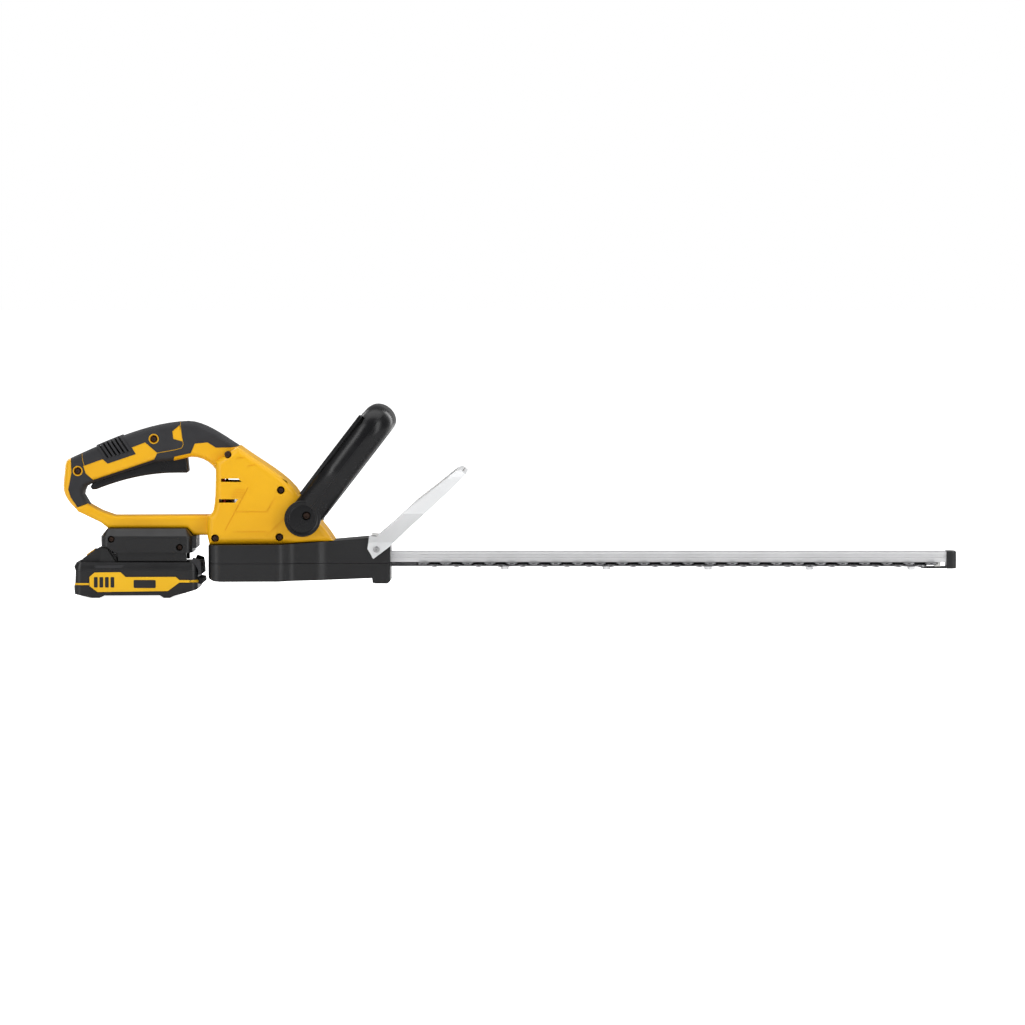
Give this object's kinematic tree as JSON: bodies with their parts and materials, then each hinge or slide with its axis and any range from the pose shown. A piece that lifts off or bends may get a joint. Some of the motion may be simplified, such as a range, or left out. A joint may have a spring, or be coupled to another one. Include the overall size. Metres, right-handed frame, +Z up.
{
  "type": "cordless hedge trimmer",
  "caption": "Battery hedge trimmer: D rear handle with trigger, battery pack under it, hoop front handle, clear hand guard and a long double-acting toothed blade.",
  "frame": {"origin": "middle of the bounding box at its lowest level, the feet of the battery pack; the middle plane of the tool is y = 0", "axes": "+X along the blade towards its tip, +Z up with the rear grip on top, +Y to the tool's left"},
  "size_m": [0.8914, 0.15, 0.1945],
  "materials": {
    "yellow_plastic": "satin moulded, bright yellow",
    "soft_grip": "matte soft skin, dark grey",
    "black_plastic": "fine texture, near black",
    "glossy_black": "glossy, black",
    "clear_guard": "clear, slightly grey, translucent",
    "label_yellow": "printed, yellow, no lettering",
    "steel": "ground",
    "blade_steel": "ground, oiled",
    "rail_aluminium": "extruded, satin",
    "screw_steel": "dark zinc",
    "brass": "plain",
    "copper_winding": "enamelled",
    "cell_wrap": "shrink wrap",
    "green_board": "solder mask",
    "white_nylon": "plain",
    "red_wire": "insulation",
    "black_wire": "insulation",
    "magnet": "ferrite"
  },
  "bodies": {
    "housing": {"housing_right": "yellow_plastic", "housing_left": "yellow_plastic", "grip_right": "soft_grip", "grip_left": "soft_grip", "housing_screws": "screw_steel", "trigger_pin": "steel", "trigger_spring": "steel", "trigger_switch": "black_plastic", "dock_right": "black_plastic", "dock_left": "black_plastic", "dock_screws": "screw_steel", "terminal_block": "green_board", "terminal_blades": "brass", "wire_red": "red_wire", "wire_black": "black_wire", "speed_board": "green_board", "motor_can": "steel", "motor_magnets": "magnet", "motor_cap": "black_plastic", "motor_brushes": "magnet", "motor_bushes": "brass", "gearcase_lower": "black_plastic", "gearcase_upper": "black_plastic", "case_screws": "screw_steel", "gear_bearings": "steel", "wear_plate": "steel", "guide_rail": "rail_aluminium", "rail_screws": "screw_steel", "blade_bolts": "screw_steel", "blade_sleeves": "steel", "tip_spacer": "white_nylon", "tip_guard": "black_plastic", "hand_guard": "clear_guard", "guard_screws": "screw_steel", "loop_rear": "glossy_black", "loop_front": "glossy_black", "loop_screws": "screw_steel"},
    "trigger": {"trigger": "black_plastic"},
    "plunger": {"switch_plunger": "white_nylon"},
    "battery": {"battery_lower": "black_plastic", "battery_upper": "black_plastic", "battery_label": "label_yellow", "battery_cells": "cell_wrap", "battery_board": "green_board", "battery_clips": "brass", "battery_bumper": "soft_grip", "release_spring": "steel"},
    "release": {"release_button": "yellow_plastic"},
    "rotor": {"motor_shaft": "steel", "motor_armature": "copper_winding", "motor_commutator": "brass", "motor_fan": "white_nylon", "pinion": "steel"},
    "crank": {"drive_gear": "steel", "gear_shaft": "steel", "cam_upper": "steel", "cam_lower": "steel"},
    "blade_top": {"blade_upper": "blade_steel"},
    "blade_bottom": {"blade_lower": "blade_steel"},
    "handle_switch": {"switch_bar": "soft_grip"}
  },
  "joints": [
    {"name": "trigger_pull", "type": "hinge", "parent": "housing", "child": "trigger", "pos_m": [-0.41425, 0, 0.1208], "axis": [0, -1, 0], "range_deg": [0, 5.5], "stiffness_Nm_per_rad": 0.35, "springref_deg": -17.19, "deforming": ["trigger_spring"]},
    {"name": "plunger_push", "type": "slide", "parent": "housing", "child": "plunger", "axis": [0, 0, 1], "range_m": [0, 0.0048]},
    {"name": "battery_slide", "type": "slide", "parent": "housing", "child": "battery", "axis": [-1, 0, 0], "range_m": [0, 0.13]},
    {"name": "release_press", "type": "slide", "parent": "battery", "child": "release", "axis": [0, 0, -1], "range_m": [0, 0.0025], "stiffness_N_per_m": 400, "springref_m": -0.002, "deforming": ["release_spring"]},
    {"name": "crank_turn", "type": "hinge", "parent": "housing", "child": "crank", "pos_m": [-0.23262, 0, 0.0393], "axis": [0, 0, 1], "range_deg": [-90, 90]},
    {"name": "rotor_turn", "type": "hinge", "parent": "housing", "child": "rotor", "pos_m": [-0.26575, 0, 0.0593], "axis": [0, 0, 1], "range_deg": [-307.5, 307.5]},
    {"name": "top_blade_slide", "type": "slide", "parent": "housing", "child": "blade_top", "axis": [1, 0, 0], "range_m": [-0.0055, 0.0055]},
    {"name": "bottom_blade_slide", "type": "slide", "parent": "housing", "child": "blade_bottom", "axis": [1, 0, 0], "range_m": [-0.0055, 0.0055]},
    {"name": "handle_switch_press", "type": "slide", "parent": "housing", "child": "handle_switch", "axis": [0.7931, 0, -0.6091], "range_m": [0, 0.003], "stiffness_N_per_m": 600, "springref_m": -0.002}
  ],
  "couplings": [
    {"joint": "plunger_push", "follows": "trigger_pull", "m_per_rad": 0.05},
    {"joint": "rotor_turn", "follows": "crank_turn", "ratio": -3.4167},
    {"joint": "top_blade_slide", "follows": "crank_turn", "m_per_rad": 0.0035014},
    {"joint": "bottom_blade_slide", "follows": "crank_turn", "m_per_rad": -0.0035014}
  ]
}
